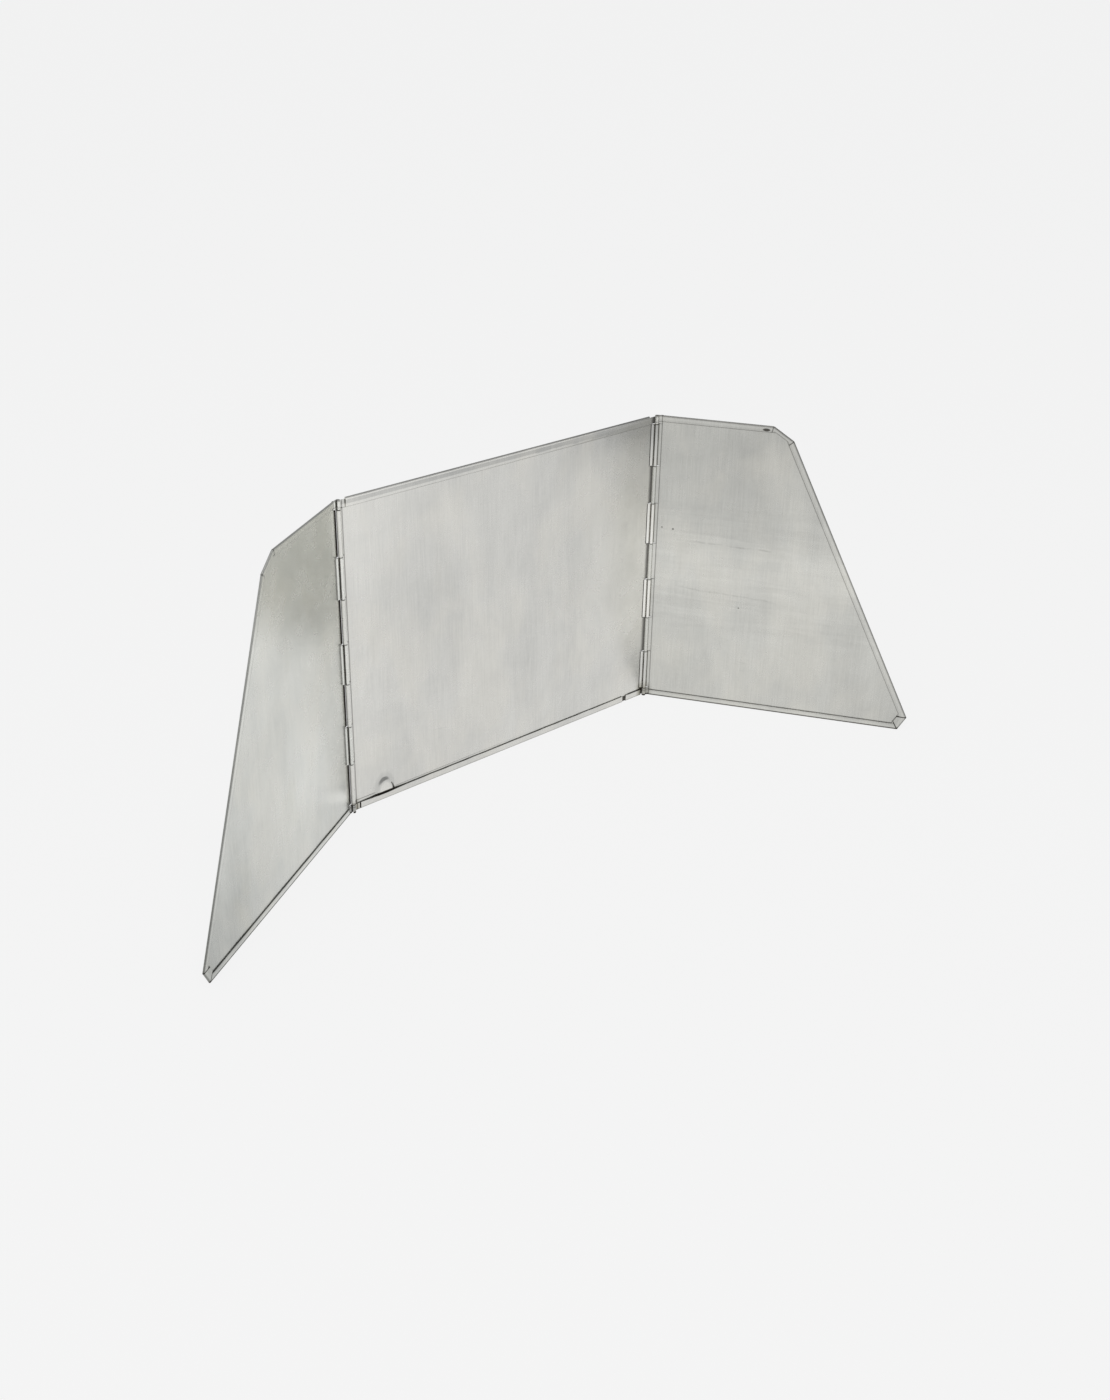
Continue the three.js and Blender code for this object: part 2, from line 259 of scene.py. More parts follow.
# Four tongues at each end step forward out of the sheet and are rolled round the hinge wire.
# Between them flat fingers of the sheet run in behind the wing's own knuckles.
CENTRE_KNUCKLE, WING_KNUCKLE, KNUCKLE_GAP = 35.0, 32.0, 0.4
CURL_WRAP = 255
LAP, FINGER_TIP = 1.0, 0.2  # a finger starts inside the sheet and ends short of the pin's axis


def knuckle_heights():
    """The joints between knuckles from the bottom up: the panel's four in turn with three of the
    wing's, and the wing's two end ones, which share what is left of the height."""
    middle = [CENTRE_KNUCKLE, WING_KNUCKLE] * 3 + [CENTRE_KNUCKLE]
    end = (HEIGHT - sum(middle)) / 2
    return np.concatenate([[0], np.cumsum([end, *middle, end])])


def curl_section():
    """A knuckle's section in u and w: out of the sheet, up a slope, and round the wire."""
    slope = SHEET * math.tan(math.atan2(-BARREL - BACK, JOG_RUN) / 2)
    turn = np.radians(np.linspace(270, 270 - CURL_WRAP, 40))
    outer = BARREL * np.stack([np.cos(turn), np.sin(turn)], 1)
    inner = CURL_INNER * np.stack([np.cos(turn[::-1]), np.sin(turn[::-1])], 1)
    ramp = smooth(np.linspace(0, 1, 10), 0, 1)
    run = np.linspace(JOG_START, BARREL, 10)
    rear = np.stack([run, BACK + (-BARREL - BACK) * ramp], 1)
    near = np.stack([run[::-1] - slope, FRONT + (-CURL_INNER - FRONT) * ramp[::-1]], 1)
    return np.concatenate([[[JOG_START + LAP, BACK + TUCK]], rear, outer, inner, near,
                           [[JOG_START + LAP, FRONT - TUCK]]])


def hinge_edge(name, panel, is_wing, drop=0.0):
    """The rolled knuckles and flat fingers along one hinge edge of a panel: the section of each
    carried up from its lower end to its upper one. drop shortens the topmost finger."""
    heights = knuckle_heights()
    last = len(heights) - 2
    section = curl_section()
    parts = []
    for i in range(last + 1):
        low = heights[i] + (KNUCKLE_GAP / 2 if i else 0)
        high = heights[i + 1] - (KNUCKLE_GAP / 2 if i < last else 0)
        u, w = section[:, 0], section[:, 1]
        if is_wing != (i % 2 == 0):
            low = low if i else FOLD_IN
            high = high if i < last else high - drop
            u = np.array([FINGER_TIP, JOG_START + LAP, JOG_START + LAP, FINGER_TIP])
            w = np.array([FRONT, FRONT - TUCK, BACK + TUCK, BACK])
        z = np.linspace(low, high, 4)[:, None]
        parts.append(loft(f"{name}_{i}", panel.place(u, w, z)))
    return parts


centre_parts += hinge_edge("near_knuckle", CENTRE, False, CORNER_DROP)
centre_parts += hinge_edge("far_knuckle", CENTRE_FAR, False, CORNER_DROP)
centre = joined("centre_panel_sheet", centre_parts, "centre", "centre_panel")


# The finish: mill aluminium gone dull, with fine rolling grain, rubbed patches, scratches and specks
# of corrosion, and brown grime. Painted shade darkens its fold, slit and crease lines and the gaps
# beside and between the hinge barrels; painted highlights and reflections lighten and darken it.
class Wire:
    """A shader socket with arithmetic: each operator adds the Math node that it stands for."""

    tree = None

    def __init__(self, socket):
        self.socket = socket

    @classmethod
    def node(cls, kind, settings=None, out=0, **values):
        """A node of one type: its settings are set first, then its sockets, by name or index."""
        made = cls.tree.nodes.new("ShaderNode" + kind)
        for key, value in (settings or {}).items():
            setattr(made, key, value)
        for key, value in values.items():
            at = int(key[1:]) if key[0] == "i" and key[1:].isdigit() else key.replace("_", " ")
            socket = made.inputs[at]
            if isinstance(value, Wire):
                cls.tree.links.new(value.socket, socket)
            else:
                socket.default_value = value
        return cls(made.outputs[out]) if len(made.outputs) else None

    def _math(self, operation, a, b=0.0):
        """One Math node on two numbers or values."""
        return Wire.node("Math", {"operation": operation}, i0=a, i1=b)

    def __add__(self, other):
        return self._math("ADD", self, other)

    __radd__ = __add__

    def __mul__(self, other):
        return self._math("MULTIPLY", self, other)

    __rmul__ = __mul__

    def __sub__(self, other):
        return self._math("SUBTRACT", self, other)

    def __rsub__(self, other):
        return self._math("SUBTRACT", other, self)

    def __truediv__(self, other):
        return self._math("DIVIDE", self, other)

    def __pow__(self, other):
        return self._math("POWER", self, other)

    def __abs__(self):
        return self._math("ABSOLUTE", self)

    def min(self, other):
        """The smaller of the two."""
        return self._math("MINIMUM", self, other)

    def max(self, other):
        """The larger of the two."""
        return self._math("MAXIMUM", self, other)

    def step(self, low, high):
        """0 at low to 1 at high, smoothly."""
        return Wire.node("MapRange", {"interpolation_type": "SMOOTHSTEP"}, i0=self, i1=low,
                         i2=high, i3=0.0, i4=1.0)


def vector(x, y, z):
    """Three numbers or values as one vector."""
    return Wire.node("CombineXYZ", X=x, Y=y, Z=z)


def dot(a, b):
    """The dot product of two vectors, as a number."""
    return Wire.node("VectorMath", {"operation": "DOT_PRODUCT"}, out=1, i0=a, i1=b)


def noise(at, scale, detail=4.0, roughness=0.55, distortion=0.0):
    """Fractal noise, mostly between 0.3 and 0.7, at a place given as a vector."""
    return Wire.node("TexNoise", Vector=at, Scale=scale, Detail=detail, Roughness=roughness,
                     Distortion=distortion)


def mix(factor, a, b):
    """A colour mix: a where factor is 0 and b where it is 1."""
    return Wire.node("Mix", {"data_type": "RGBA"}, out=2, i0=factor, i6=a, i7=b)


def start_material(name, object_):
    """An empty material as an object's only one, which the nodes that follow are added to."""
    material = bpy.data.materials.new(name)
    material.use_nodes = True
    material.node_tree.nodes.clear()
    Wire.tree = material.node_tree
    object_.data.materials.clear()
    object_.data.materials.append(material)


def band(value, at, half, soft):
    """1 within half of at and 0 beyond a soft margin."""
    return 1 - abs(value - at).step(half, half + soft)


def between(value, low, high, soft):
    """1 from low to high and 0 beyond a soft margin at either end."""
    return band(value, (low + high) / 2, (high - low) / 2, soft)


def panel_place(panel):
    """The panel's own u, w and z in millimetres, from the Object coordinates."""
    at = Wire.node("TexCoord", out=3)
    offset = Wire.node("VectorMath", {"operation": "SUBTRACT"}, i0=at,
                       i1=tuple(panel.pin * MM))
    u = dot(offset, tuple(panel.along / MM))
    w = dot(offset, tuple(panel.front / MM))
    z = dot(offset, (0.0, 0.0, 1 / MM))
    return u, w, z


def scratches(u, z, angle, length, seed, amount):
    """Sparse fine lines at an angle: a noise stretched along them, kept where it is highest."""
    a = math.radians(angle)
    along = u * math.cos(a) + z * math.sin(a)
    across = z * math.cos(a) - u * math.sin(a)
    lines = noise(vector(along / length, across * 1.6, seed), 1.0, 2.0, 0.5, 0.15)
    patch = noise(vector(u * 0.02, z * 0.02, seed + 3.7), 1.0, 2.0)
    return lines.step(0.72 - 0.06 * amount, 0.8) * patch.step(0.45, 0.62)


MID_TONE = 0.435
DUST, STAIN = (0.86, 0.82, 0.72, 1), (0.5, 0.47, 0.33, 1)
# SHADE_AND_SOOT is the dark brown that paints shade into gaps, slits, folds and creases, and also
# real grime.
PIT, SHADE_AND_SOOT = (0.11, 0.11, 0.1, 1), (0.026, 0.019, 0.012, 1)


def finish_sheet(name, object_, panel, pale, dark, extra):
    """Dull mill-finish aluminium in a panel's own coordinates: a sum of noises slides the colour
    from dark to pale. extra adds the panel's own marks: it takes u, w and z and gives a tone to
    add, which holds painted light and shade, an amount of dark brown, which is mostly painted
    shade in gaps, slits and creases and partly grime, and a stain amount, for the inner side,
    where the hems and barrels are."""
    start_material(name, object_)
    u, w, z = panel_place(panel)
    flat = vector(u, z, w * 0.3)
    cloud = noise(flat, 0.011, 5.0, 0.6, 0.6)
    mottle = noise(flat, 0.06, 5.0, 0.62, 0.3)
    speckle = noise(flat, 0.5, 3.0, 0.6)
    # Rolling leaves grain that runs up the sheet, and handling rubs it in the same direction.
    grain = noise(vector(u * 1.4, z * 0.035, w), 1.0, 3.0, 0.55)
    fine = noise(vector(u * 6.0, z * 0.5, w), 1.0, 2.0, 0.6)
    rubbed = noise(vector(u * 0.03, z * 0.006, 5.0), 1.0, 3.0, 0.6, 0.8)
    tone = (cloud - 0.5) * 0.5 + (mottle - 0.5) * 0.16 + (grain - 0.5) * 0.3
    tone = tone + (speckle - 0.5) * 0.1 + (rubbed - 0.5) * 0.3 + (fine - 0.5) * 0.1
    # Corrosion pits are the hearts of scattered cells, in patches.
    pits = Wire.node("TexVoronoi", Vector=flat, Scale=0.16)
    pit = (1 - pits.step(0.0, 0.045)) * noise(flat, 0.21, 1.0).step(0.66, 0.7)
    # The panel's own marks are kept off faces that look to its back.
    inside = dot(Wire.node("TexCoord", out=1), tuple(panel.front)).step(-0.4, 0.0)
    added, shade_and_soot, stain = (mark * inside for mark in extra(u, w, z))
    marks = scratches(u, z, 12, 14, 1.0, 1) + scratches(u, z, 71, 18, 7.0, 0.6)
    marks = marks + scratches(u, z, 128, 10, 13.0, 0.5)
    hairs = scratches(u, z, -8, 22, 21.0, 1.0) + scratches(u, z, 48, 16, 33.0, 0.8)
    # Painted highlight: the tops of the barrels are made lighter and less metallic.
    barrel_highlight = w.step(STRIP_FRONT + 0.1, STRIP_FRONT + 0.5) * (1 - u.step(1.7, 1.9))
    value = tone + added + barrel_highlight * 0.18 + MID_TONE + marks * 0.08 - hairs * 0.24
    colour = mix(value.max(0.0).min(1.0), dark, pale)
    warm = noise(vector(u * 0.02, z * 0.013, 8.0), 1.0, 3.0, 0.6, 0.4).step(0.4, 0.66)
    colour = mix(warm * 0.16, colour, DUST)
    colour = mix(stain.min(1.0), colour, STAIN)
    colour = mix(pit * 0.6, colour, PIT)
    # Painted shade and grime: the dark brown darkens the metal where shade would fall and where
    # grime gathers.
    colour = mix(shade_and_soot.min(1.0).max(0.0), colour, SHADE_AND_SOOT)
    rough = 0.26 + (mottle - 0.5) * 0.22 + (cloud - 0.5) * 0.16 + shade_and_soot * 0.4 + pit * 0.2
    rough = (rough - marks * 0.06).max(0.16).min(0.9)
    height = grain * 0.3 + fine * 0.3 + mottle * 0.4 - pit * 0.3
    bump = Wire.node("Bump", Strength=0.05, Distance=0.0002, Height=height)
    shader = Wire.node("BsdfPrincipled", Base_Color=colour,
                       Metallic=1.0 - shade_and_soot.min(1.0) * 0.9 - barrel_highlight * 0.35,
                       Roughness=rough, Normal=bump, Specular_IOR_Level=0.2)
    Wire.node("OutputMaterial", Surface=shader)


# A mark is a product of bands and steps. Their numbers are places and widths in millimetres, and
# the last factor is the mark's strength.
WING_ROWS, CENTRE_ROWS = 0, 1


def knuckle_rows(z, first):
    """1 in every second row of knuckles, starting with row first, and 0 in the others."""
    heights = knuckle_heights()
    rows = 0.0
    for low, high in zip(heights[first:-1:2], heights[first + 1::2]):
        rows = z.step(low, low + 0.5) * (1 - z.step(high - 0.5, high)) + rows
    return rows


def row_end_shade(u, z):
    """Painted shade: thin dark lines across the hinge where one knuckle ends and the next begins."""
    lines = 0.0
    for height in knuckle_heights()[1:-1]:
        lines = band(z, height, 0.2, 0.35) + lines
    return lines * (1 - u.step(3.6, 4.2))


def jog_crease_shade(u):
    """Painted shade in the crease where a panel's sheet bends forward to its knuckles."""
    return band(u, JOG_START + 0.3, 0.2, 0.4)


def centre_hinge_shade(u, far, z):
    """Painted shade at both hinges: in the slit beside each of the wings' knuckles, in the creases
    where the panel's own ones begin, and across the hinge between one knuckle and the next."""
    slit_shade = (1 - u.step(1.3, 1.8)) * 0.75 + (1 - far.step(1.6, 4.8)) * 0.62
    shade_and_soot = knuckle_rows(z, WING_ROWS) * slit_shade
    shade_and_soot = shade_and_soot + knuckle_rows(z, CENTRE_ROWS) * jog_crease_shade(far) + jog_crease_shade(u) * 0.48
    return shade_and_soot + (row_end_shade(u, z) + row_end_shade(far, z)) * 0.7


def lip_shade(u, far, w, z):
    """Painted shade round the lip: black in its pocket, which is deepest below the lug, and in the
    gaps at its ends, with thin dark lines of painted shade where the sheet above it is creased."""
    rear = 1 - w.step(FRONT + 0.15, STRIP_BACK)
    under_lug = band(u, LUG_AT, 7.5, 2.0) * 1.8
    pocket = rear * (1 - (z - under_lug).step(5.1, 5.6))
    pocket = pocket * between(u, LIP_START + 0.3, LIP_END - LIP_CLOSED - 1.5, 0.6)
    notch = band(u, (LIP_END + SPACING - END_TAB) / 2, 1.7, 0.4) * (1 - z.step(4.7, 5.5))
    slit = band(u, 6.95, 0.5, 0.2) * (1 - z.step(5.1, 5.7))
    score = band(z, 8.1, 0.12, 0.4) * (1 - u.step(19.0, 23.0)) * 0.5
    after_lug = u.step(38.0, 42.0) * (1 - u.step(70.0, 200.0))
    score = score + band(z, 7.3, 0.1, 0.35) * after_lug * 0.4
    crease = band(z, 5.6, 0.3, 0.4) * (1 - far.step(16.0, 19.5)) * 0.8
    return pocket * 0.95 + notch * 0.9 + slit * 0.9 + score + crease


def lug_marks(u, z):
    """Painted light and shade at the lug, by its distance r from the lug's middle: a tone with a
    grey halo of painted shade that fades to the upper right and a pale face, a painted highlight,
    and black painted shade in a torn right corner and the cut below."""
    r = ((u - LUG_AT) ** 2.0 + ((z - LUG_BOTTOM) / LUG_STRETCH) ** 2.0) ** 0.5
    halo = band(r, 8.2, 1.0, 2.8) * z.step(5.0, 8.0)
    halo = halo * (1 - (u - LUG_AT - (z - 6.0) * 0.6).step(1.0, 8.0) * 0.6)
    face = (1 - r.step(4.9, 5.9)) * z.step(LUG_BOTTOM - 0.4, LUG_BOTTOM)
    tear_shade = band(r, 6.8, 0.15, 0.35) * (u - LUG_AT).step(4.0, 5.0) * band(z, 9.9, 2.8, 0.6)
    cut = band(u, LUG_AT, 7.0, 0.8) * band(z, LUG_BOTTOM, 0.6, 0.3)
    return halo * -0.14 + face * 0.15, (tear_shade + cut) * 0.95


def centre_tone(u, far, z):
    """Broad lighter and darker areas of painted light and shade: a painted highlight line and a dark
    reflection band along the top hem, with painted shade in patches along it, a painted dark
    reflection in the upper right corner, and painted reflected light low beside the right hinge and
    along the left one."""
    hem_light_and_shade = band(z, HEIGHT - 1.3, 0.2, 0.5) * 0.3 + band(z, HEIGHT - 3.3, 1.1, 0.8) * -0.36
    hem_blot_shade = noise(vector(u * 0.06, z * 0.02, 1.0), 1.0, 3.0, 0.6).step(0.42, 0.6)
    hem_blot_shade = hem_blot_shade * band(z, HEIGHT - 3.6, 1.3, 1.2) * (1 - far.step(60.0, 150.0)) * -1.0
    # Painted reflection: the upper right corner is darker.
    corner = far.step(150.0, 20.0) * z.step(205.0, 248.0) * -0.36
    corner = corner + far.step(70.0, 4.0) * z.step(224.0, 249.0) * -0.36
    # Painted reflection: lighter low beside the right hinge and along the left one.
    lit = far.step(95.0, 10.0) * z.step(24.0, 92.0) * (1 - z.step(140.0, 210.0)) * 0.5
    lit = lit + (1 - u.step(4.0, 60.0)) * 0.1
    lit = lit + (1 - u.step(60.0, 120.0)) * z.step(150.0, 220.0) * 0.1
    return hem_light_and_shade + hem_blot_shade + corner + lit


def centre_marks(u, w, z):
    """The centre panel's own tone, dark marks and stain: painted light and shade at its hinges, lip,
    lug and edges, and grime that has gathered in both lower corners."""
    far = SPACING - u
    grime = (1 - far.step(3.0, 9.0)) * (1 - z.step(4.0, 16.0))
    grime = grime + (1 - u.step(3.0, 8.0)) * (1 - z.step(3.0, 12.0))
    # Painted shade and dark reflection along the rounded bottom and top edges and under the raw edge
    # of the top hem.
    edge = (1 - z.step(0.5, 1.3)) * 0.4 + z.step(HEIGHT - 0.8, HEIGHT - 0.3) * 0.28
    edge = edge + band(z, HEIGHT - TOP_HEM - 0.2, 0.2, 0.4) * 0.25
    lug_tone, lug_shade = lug_marks(u, z)
    shade_and_soot = centre_hinge_shade(u, far, z) + lip_shade(u, far, w, z) + lug_shade
    return centre_tone(u, far, z) + lug_tone, shade_and_soot + edge + grime * 0.35, grime * 0.5


finish_sheet("centre_aluminium", centre, CENTRE, (0.92, 0.912, 0.868, 1),
             (0.44, 0.442, 0.43, 1), centre_marks)

# ---- The wings
# Each is one sheet with a sloping outer edge, a cut corner above and a folded foot corner below.
# All its free edges are hemmed to the inside, and five tongues are rolled into knuckles.
LEFT_OPENING, RIGHT_OPENING = 148.7, 124.1  # from the centre panel, as the shield stands
LEFT = Panel(-SPACING / 2, -LEFT_OPENING, 1)
RIGHT = Panel(SPACING / 2, 180 + RIGHT_OPENING, -1)
HEM_START = JOG_START + 0.4  # the top and bottom hems begin this far along
WING_REACH, WING_TOP = 223.0, 92.7
CHAMFER_RUN, CHAMFER_DROP = 16.6, 10.6
FOOT_RUN, FOOT_RISE = 6.4, 12.0
WING_HEM, FOOT_HEM, CHAMFER_HEM = 5.0, 7.2, 3.0
CORNERS = [
    (HEM_START, 0.0),
    (WING_REACH - FOOT_RUN, 0.0),
    (WING_REACH, FOOT_RISE),
    (WING_TOP + CHAMFER_RUN, HEIGHT - CHAMFER_DROP),
    (WING_TOP, HEIGHT),
    (HEM_START, HEIGHT),
]
WIDTHS = [WING_HEM, FOOT_HEM, WING_HEM, CHAMFER_HEM, WING_HEM]


def mitre(a, b, c):
    """How far a mitre line moves along an edge for each unit inwards: 1 / tan(half the corner)."""
    turn = math.atan2(c[1] - b[1], c[0] - b[0]) - math.atan2(b[1] - a[1], b[0] - a[0])
    return 1 / math.tan((math.pi - turn % (2 * math.pi)) / 2)


EDGE_INSET = 0.55


def outer_edge(z):
    """How far the wing's sheet reaches at a height, just inside its hems."""
    us = [c[0] for c in CORNERS[1:5]]
    zs = [c[1] for c in CORNERS[1:5]]
    return np.interp(z, zs, us) - EDGE_INSET


def wing(name, panel, body, seed):
    """One wing: its sheet, its five hems and its hinge edge, as one object."""
    zs = np.unique(np.concatenate([np.linspace(FOLD_IN, HEIGHT - FOLD_IN, 60),
                                   [FOOT_RISE, HEIGHT - CHAMFER_DROP]]))
    share = np.linspace(0, 1, 60)
    us = JOG_START + (outer_edge(zs)[:, None] - JOG_START) * share

    def depth(u, z):
        """The wing's faces are moved by the sheet's bulge alone."""
        return ripple(u, z, outer_edge(z), seed)

    parts = [sheet(name + "_sheet", panel, us, zs, depth)]
    leans = [0] + [mitre(CORNERS[i - 1], CORNERS[i], CORNERS[i + 1]) for i in range(1, 5)] + [0]
    for i, width in enumerate(WIDTHS):
        parts.append(hem(f"{name}_hem_{i}", panel, CORNERS[i], CORNERS[i + 1], width,
                         leans[i], -leans[i + 1], seed=seed + i))
    parts += hinge_edge(name + "_knuckle", panel, True)
    return joined(name + "_sheet", parts, body, name)


left_wing = wing("left_wing", LEFT, "left_wing", 20)
right_wing = wing("right_wing", RIGHT, "right_wing", 40)


# Strengths of the painted shade in a wing's mitre gaps.
MITRE_SHADE = (0.75, 0.75, 0.35, 0.35)  # at both ends of the foot's tab, then of the cut corner's


def hem_lines(u, z):
    """How far a point is in from the nearest of a wing's outer edges, and from the nearest raw
    edge of its strips: for each edge, the distance to its line, less its width for the second."""
    outer, raw = None, None
    for p, q, width in zip(CORNERS, CORNERS[1:], WIDTHS):
        length = math.hypot(q[0] - p[0], q[1] - p[1])
        au, az = (q[0] - p[0]) / length, (q[1] - p[1]) / length
        inward = z * au - u * az - (p[1] * au - p[0] * az)
        outer = inward if outer is None else outer.min(inward)
        raw = inward - width if raw is None else raw.min(inward - width)
    return outer, raw


def mitre_shade(u, z, raw):
    """Painted shade: dark lines along the bisectors of a wing's hemmed corners, as far in as the
    strips go.
    """
    lines = 0.0
    for a, b, c, dark in zip(CORNERS, CORNERS[1:], CORNERS[2:], MITRE_SHADE):
        before = np.array(a) - b
        after = np.array(c) - b
        into = before / np.hypot(*before) + after / np.hypot(*after)
        into = into / np.hypot(*into)
        along = (u - b[0]) * into[0] + (z - b[1]) * into[1]
        across = (z - b[1]) * into[0] - (u - b[0]) * into[1]
        lines = band(across, 0.0, 0.25, 0.4) * (1 - along.step(12.0, 14.0)) * dark + lines
    return lines * (1 - raw.step(0.0, 0.4))


def hem_marks(u, z):
    """A wing's hems: a tone, a painted highlight along each strip, and painted shade and dark
    reflection on the fold, along the raw edge and in the mitres.
    """
    outer, raw = hem_lines(u, z)
    foot = 1 - z.step(1.6, 2.4)
    tone = band(outer, 2.4, 0.5, 0.8) * 0.12 - (1 - raw.step(-0.2, 0.0)) * 0.05
    shade_and_soot = (1 - (outer - foot * 0.3).step(0.6, 1.35)) * (foot * 0.4 + 0.4)
    return tone, shade_and_soot + band(raw, 0.15, 0.2, 0.4) * 0.36 + mitre_shade(u, z, raw)


def left_marks(u, w, z):
    """The left wing's tone, dark marks and stain: painted shade beside the knuckles and at its hems,
    a lighter band that leans up from its lower inner corner, and painted reflection that makes its
    upper half and middle paler and its foot dark."""
    # Painted shade: black beside the centre's knuckles, and dark lines at the crease and between
    # knuckles.
    shade_and_soot = knuckle_rows(z, CENTRE_ROWS) * (1 - u.step(2.6, 2.8))
    shade_and_soot = shade_and_soot + knuckle_rows(z, WING_ROWS) * jog_crease_shade(u) * 0.4 + row_end_shade(u, z) * 0.7
    tone, fold_shade = hem_marks(u, z)
    leaning_band = band(z - u * 0.52, 14.0, 0.5, 8.0) * (1 - u.step(8.0, 66.0)) * 0.3
    # Painted reflection: a paler upper half and middle and a darker foot.
    upper = z.step(120.0, 160.0) * 0.13 + z.step(165.0, 200.0) * 0.2
    lit = band(u, 40.0, 30.0, 50.0) * band(z, 110.0, 40.0, 45.0) * 0.18
    foot = (1 - z.step(20.0, 90.0)) * u.step(90.0, 190.0) * -0.36
    grime = (1 - u.step(2.0, 8.0)) * (1 - z.step(4.0, 14.0))
    warm = noise(vector(u * 0.02, z * 0.012, 2.0), 1.0, 3.0).step(0.5, 0.75) * 0.2
    warm = warm * (1 - z.step(130.0, 180.0))
    return tone + leaning_band + upper + foot + lit, shade_and_soot + grime * 0.35 + fold_shade, warm


def faint_wipe(u, z, at, lean, low, high, seed):
    """A faint dark rub mark along a leaning line, broken up by a slow noise along it."""
    broken = noise(vector(u * 0.09, seed, 0.0), 1.0, 3.0, 0.6).step(0.35, 0.65)
    wander = (noise(vector(u * 0.03, seed, 4.0), 1.0, 2.0) - 0.5) * 5.0
    return band(z + u * lean + wander, at, 0.15, 1.1) * between(u, low, high, 8.0) * broken


def right_marks(u, w, z):
    """The right wing's tone, dark marks and stain: painted shade at its top and foot, beside the
    knuckles, at its hems and at a knocked place in its top hem, streaks and wipes across its
    middle and a few dark spots."""
    # Painted shade: black beside the centre's knuckles, and dark lines at the crease and between
    # knuckles.
    shade_and_soot = knuckle_rows(z, CENTRE_ROWS) * (1 - u.step(1.5, 1.9))
    shade_and_soot = shade_and_soot + jog_crease_shade(u) * 0.42 + row_end_shade(u, z) * 0.7
    tone, fold_shade = hem_marks(u, z)
    shade = z.step(110.0, 240.0) * -0.2 - (1 - z.step(15.0, 70.0)) * u.step(90.0, 180.0) * 0.12
    streak = noise(vector(u * 0.012, z * 0.16, 9.0), 1.0, 5.0, 0.65, 0.5)
    wipes = (streak - 0.5) * band(z, 125.0, 35.0, 45.0) * 0.36
    wipes = wipes - faint_wipe(u, z, 147.0, 0.02, 25.0, 95.0, 3.0) * 0.26
    wipes = wipes - faint_wipe(u, z, 106.0, 0.05, 30.0, 100.0, 8.0) * 0.22
    wipes = wipes + band(z, 128.0, 10.0, 22.0) * 0.1
    grime = (1 - u.step(2.0, 8.0)) * (1 - z.step(4.0, 14.0))
    # Painted shade under the lifted hem edge at a knocked place.
    knock_shade = 1 - (((u - 87.0) / 3.0) ** 2.0 + ((z - 246.7) / 1.2) ** 2.0).step(0.5, 1.3)
    spots = 0.0
    for at_u, at_z, size in ((8.2, 155.7, 0.7), (17.4, 155.1, 0.9), (76.0, 92.0, 0.7)):
        away = ((u - at_u) / size) ** 2.0 + ((z - at_z) / size) ** 2.0
        spots = 1 - away.step(0.4, 1.2) + spots
    shade_and_soot = shade_and_soot + grime * 0.3 + knock_shade * 0.85 + fold_shade + spots * 0.6
    return shade + wipes + tone, shade_and_soot, grime * 0.2


finish_sheet("left_aluminium", left_wing, LEFT, (0.9, 0.906, 0.862, 1),
             (0.42, 0.43, 0.412, 1), left_marks)
finish_sheet("right_aluminium", right_wing, RIGHT, (0.88, 0.88, 0.83, 1),
             (0.4, 0.4, 0.38, 1), right_marks)

# ---- The hinge wires
# A length of drawn steel wire through each row of knuckles, nipped off just inside both ends. It
# is bright where it was drawn and has begun to rust.
PIN_INSET = 0.4
TIP_RISE = np.array([0, 0.1, 0.35, 1.0])  # how a nipped end swells from its tip to full size
TIP_SHARE = np.array([0.55, 0.8, 0.97, 1.0])


def wire(name, panel, node):
    """A round wire: a circle carried up the pin's line, its ends drawn in to a worn tip."""
    turn = np.linspace(0, 2 * np.pi, 33)[:-1]
    top = HEIGHT - 2 * PIN_INSET - TIP_RISE[::-1]
    z = np.concatenate([TIP_RISE, [60, 125, 189], top]) + PIN_INSET
    radius = PIN_RADIUS * np.concatenate([TIP_SHARE, [1, 1, 1], TIP_SHARE[::-1]])
    u = radius[:, None] * np.cos(turn)
    w = radius[:, None] * np.sin(turn)
    piece = loft(name, panel.place(u, w, z[:, None]))
    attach(piece, "centre")
    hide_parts(node)
    return piece


def finish_wire(piece):
    """Drawn steel: lines along the wire roughen it, and rust tints it where a noise is high."""
    start_material(piece.name + "_steel", piece)
    spot = Wire.node("TexCoord", out=3)
    drawn = noise(Wire.node("Mapping", Vector=spot, Scale=(900.0, 900.0, 30.0)), 1.0, 3.0)
    rust = noise(spot, 300.0, 4.0).step(0.5, 0.75)
    tint = mix(rust * 0.5, (0.5, 0.49, 0.47, 1), (0.16, 0.1, 0.06, 1))
    Wire.node("OutputMaterial", Surface=Wire.node(
        "BsdfPrincipled", Base_Color=tint, Metallic=1.0 - rust * 0.5,
        Roughness=0.3 + drawn * 0.2 + rust * 0.2))


finish_wire(wire("left_pin_wire", CENTRE, "left_hinge_pin"))
finish_wire(wire("right_pin_wire", CENTRE_FAR, "right_hinge_pin"))

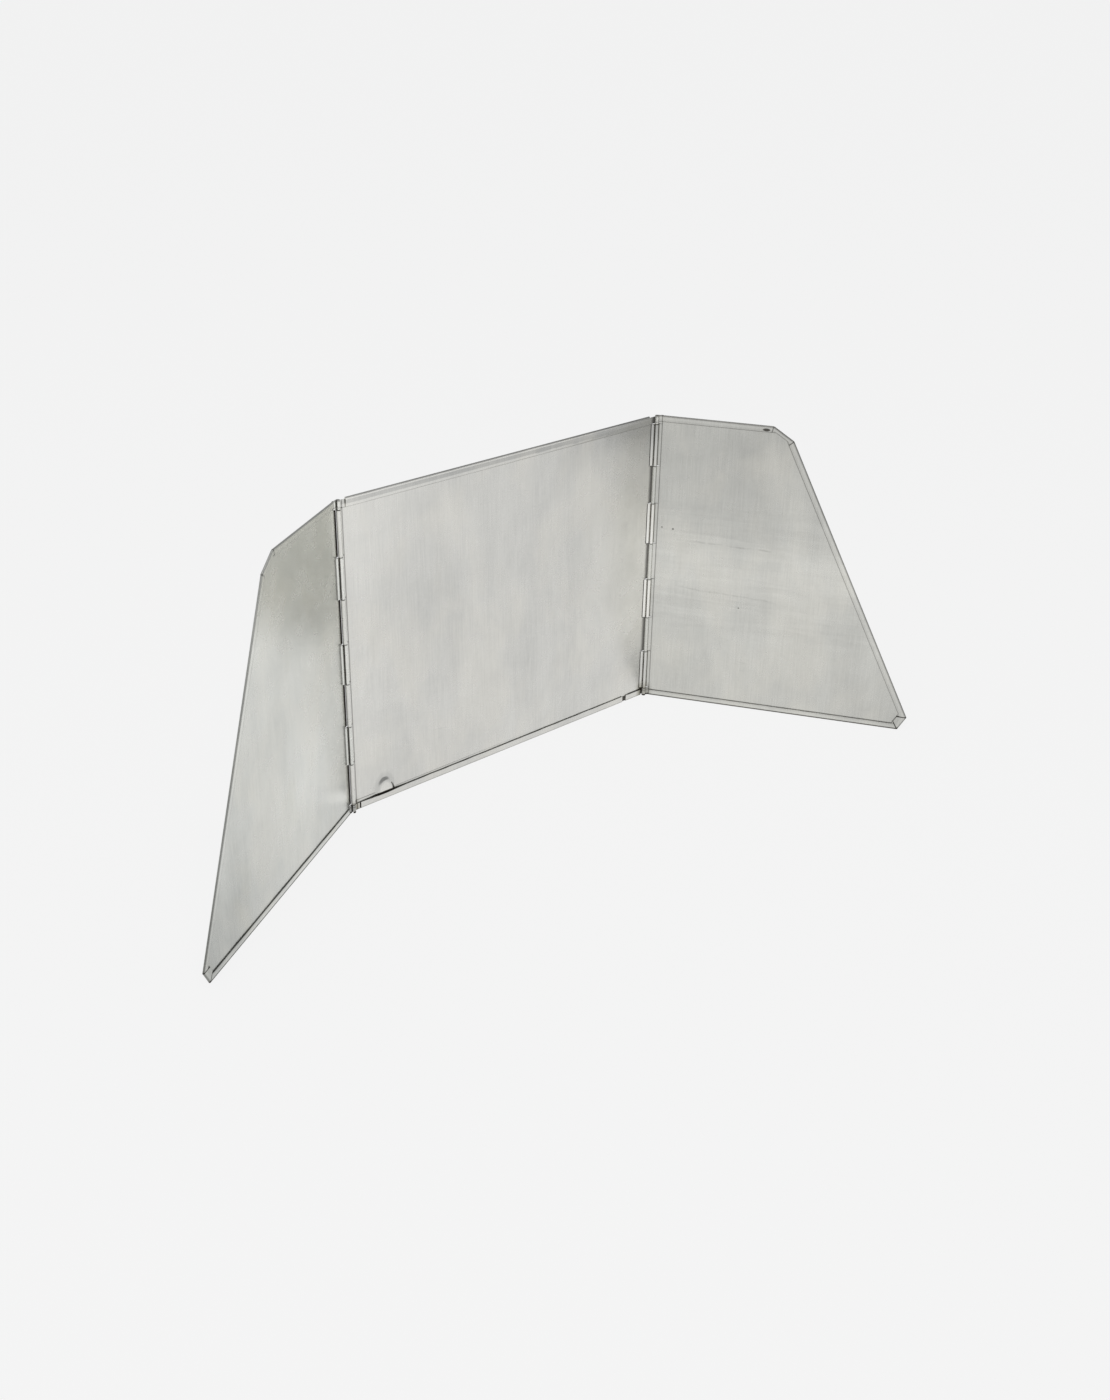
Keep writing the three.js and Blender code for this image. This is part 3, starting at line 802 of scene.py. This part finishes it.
# ---- Stage
# A pale seamless floor, a bright even room and one broad soft light from above. The sheets
# mirror the room, so its walls are darker to them than they look behind the floor.
PALE = (0.888, 0.888, 0.888, 1)
WALLS = (0.34, 0.345, 0.35, 1)
FLOOR_HALF, FLOOR_DROP = 40, 0.0003
CAMERA_AT, LENS = (-0.6926, -0.8483, 0.6323), 40.05
LAMP_AT = (-0.7, -0.6, 1.7)
camera_data = bpy.data.cameras.new("camera")
camera_data.lens = LENS
camera_data.clip_start = 0.01
camera = bpy.data.objects.new("camera", camera_data)
bpy.context.scene.collection.objects.link(camera)
YAW, PITCH, ROLL = (math.radians(a) for a in (41.218, 28.204, 1.11))
ahead = Vector((math.sin(YAW) * math.cos(PITCH), math.cos(YAW) * math.cos(PITCH),
                -math.sin(PITCH)))
side = Vector((math.cos(YAW), -math.sin(YAW), 0))
over = side.cross(ahead)
right = side * math.cos(ROLL) + over * math.sin(ROLL)
above = over * math.cos(ROLL) - side * math.sin(ROLL)
camera.matrix_world = Matrix.Translation(CAMERA_AT) @ Matrix(
    (right, above, -ahead)).transposed().to_4x4()
bpy.context.scene.camera = camera

floor_mesh = bpy.data.meshes.new("floor")
floor_mesh.from_pydata([(FLOOR_HALF * x, FLOOR_HALF * y, -FLOOR_DROP)
                        for x, y in ((-1, -1), (1, -1), (1, 1), (-1, 1))],
                       [], [(0, 1, 2, 3)])
floor = bpy.data.objects.new("floor", floor_mesh)
bpy.context.scene.collection.objects.link(floor)
start_material("floor_paper", floor)
Wire.node("OutputMaterial", Surface=Wire.node(
    "MixShader", Fac=0.1,
    i1=Wire.node("Emission", Color=PALE, Strength=1.07),
    i2=Wire.node("BsdfDiffuse", Color=(0.8, 0.8, 0.8, 1))))

world = bpy.data.worlds.new("room")
world.use_nodes = True
world.node_tree.nodes.clear()
Wire.tree = world.node_tree
seen = Wire.node("LightPath", out=0)
Wire.node("OutputWorld", Surface=Wire.node(
    "Background", Color=mix(seen, WALLS, PALE), Strength=1.0))
bpy.context.scene.world = world
lamp_data = bpy.data.lights.new("overhead", "AREA")
lamp_data.energy = 12
lamp_data.size = 1.6
lamp = bpy.data.objects.new("overhead", lamp_data)
lamp.location = LAMP_AT
lamp.rotation_euler = lamp.location.to_track_quat("Z", "Y").to_euler()
bpy.context.scene.collection.objects.link(lamp)
bpy.context.scene.view_settings.view_transform = "Standard"
